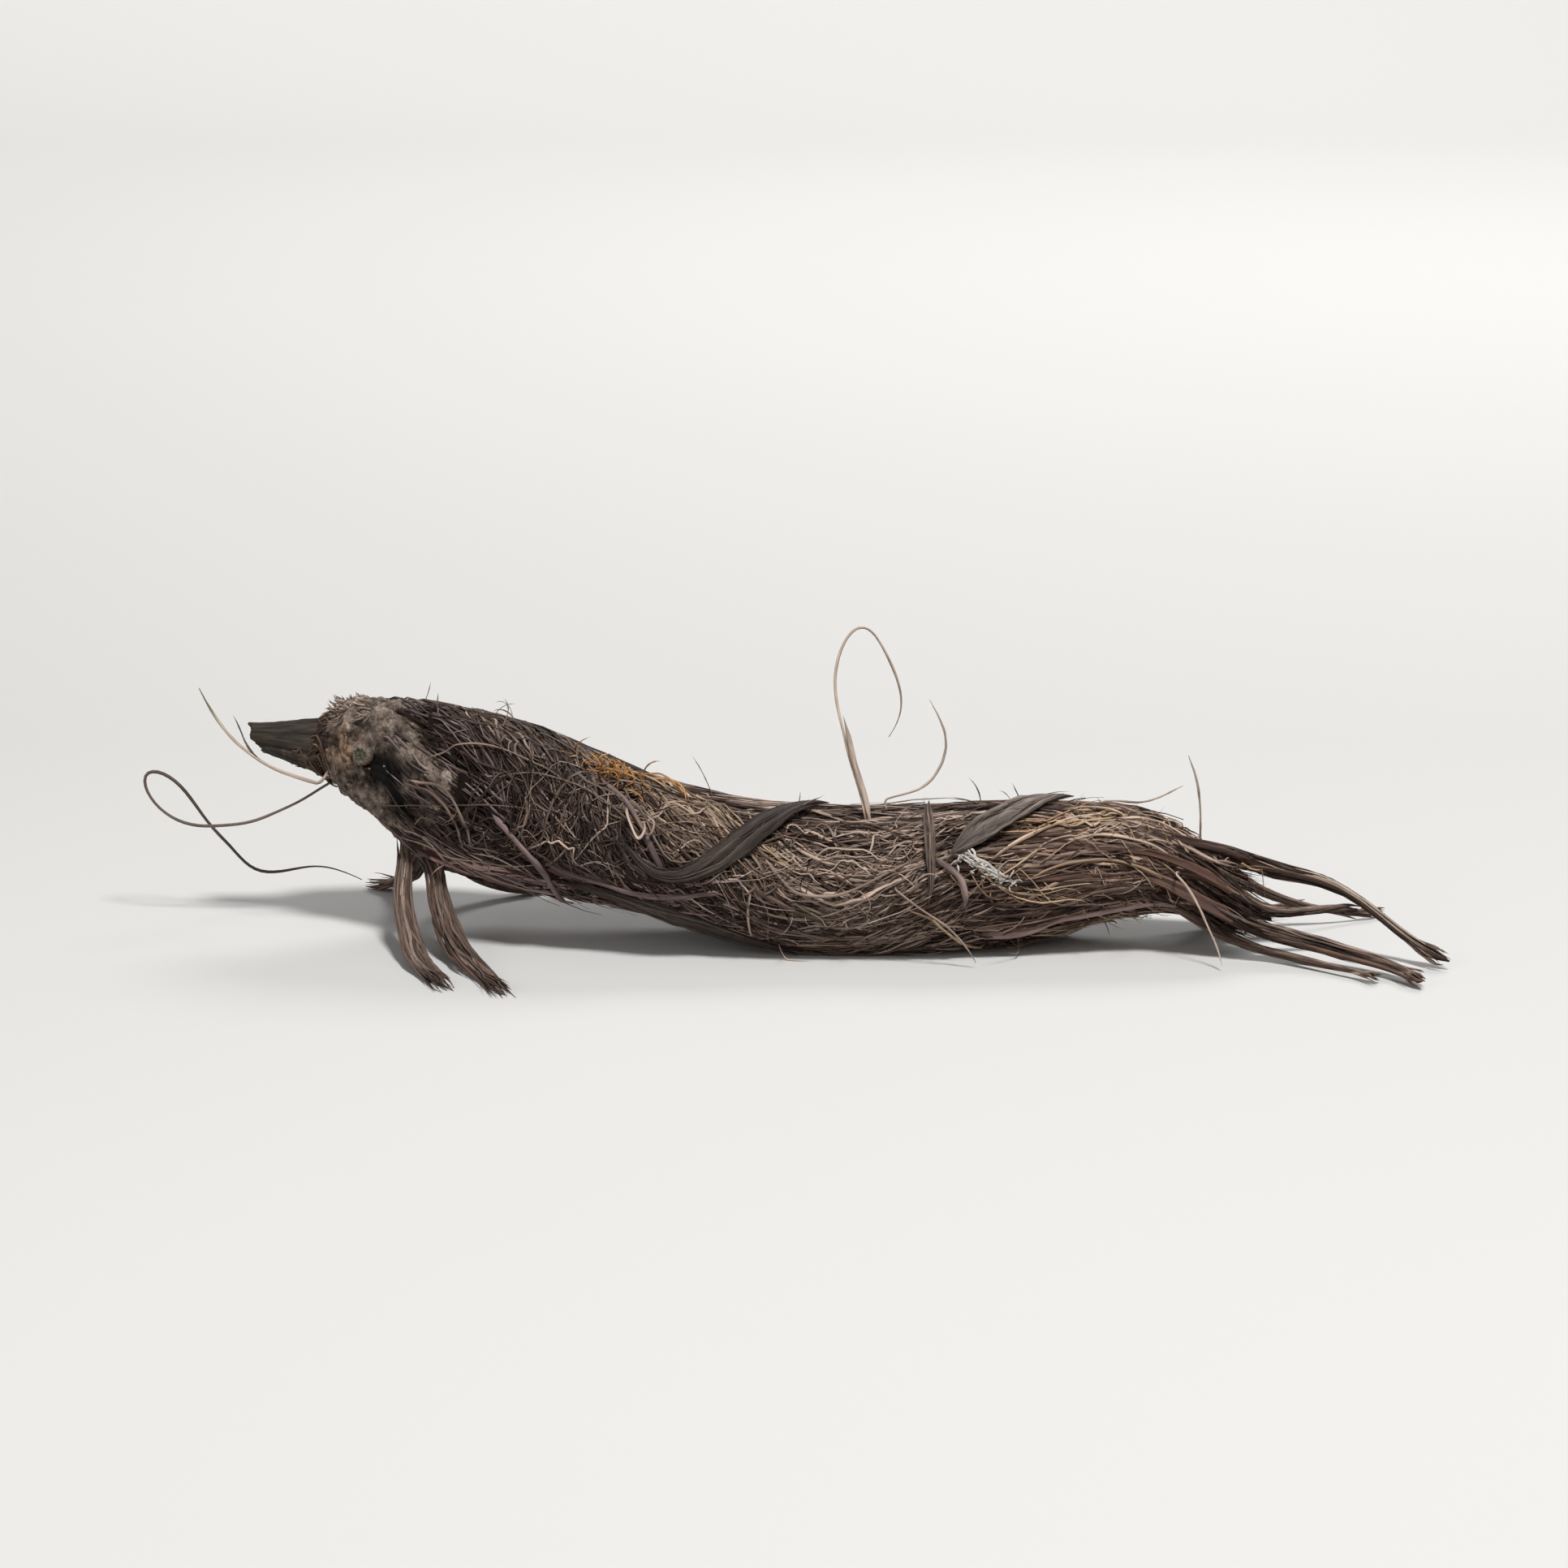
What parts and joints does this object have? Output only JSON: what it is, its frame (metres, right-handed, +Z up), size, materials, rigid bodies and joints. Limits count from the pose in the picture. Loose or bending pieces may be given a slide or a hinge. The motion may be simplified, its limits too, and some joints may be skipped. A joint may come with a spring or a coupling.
{
  "type": "dried valerian root",
  "caption": "Dried valerian rootstock: knobbly rhizome with a broken stem, its roots swept back in a loose twisted hank with frayed free tips.",
  "frame": {"origin": "middle of the whole rootstock's box, on the surface that it lies on", "axes": "+X runs from the stem to the root tips, +Z is up, and -Y is the side with the cut stem scar"},
  "size_m": [0.1424, 0.0492, 0.0349],
  "materials": {
    "rhizome": "rough dry bark",
    "stem": "dry, finely ribbed",
    "fine_root": "matt fibres",
    "flat_root": "dry, grooved lengthwise",
    "long_root": "dry, wrinkled lengthwise",
    "rootlet": "matt hair-like fibre"
  },
  "bodies": {
    "root": {"rhizome": "rhizome", "stem_stub": "stem", "side_stem_scar": "stem", "root_lock_1": "fine_root", "root_lock_2": "fine_root", "root_lock_3": "fine_root", "root_lock_4": "fine_root", "root_lock_5": "fine_root", "root_lock_6": "fine_root", "root_lock_7": "fine_root", "long_root_1": "long_root", "long_root_2": "long_root", "long_root_3": "long_root", "long_root_4": "long_root", "long_root_5": "long_root", "long_root_6": "long_root", "flat_root_1": "flat_root", "flat_root_2": "flat_root", "flat_root_3": "flat_root", "flat_root_4": "flat_root", "flat_root_5": "flat_root", "flat_root_6": "flat_root", "side_root_1": "flat_root", "side_root_2": "flat_root", "side_root_3": "flat_root", "side_root_4": "flat_root", "rootlet_1": "rootlet", "rootlet_2": "rootlet", "rootlet_3": "rootlet", "rootlet_4": "rootlet", "rootlet_5": "rootlet", "rootlet_6": "rootlet", "rootlet_7": "rootlet", "rootlet_8": "rootlet"}
  },
  "joints": []
}
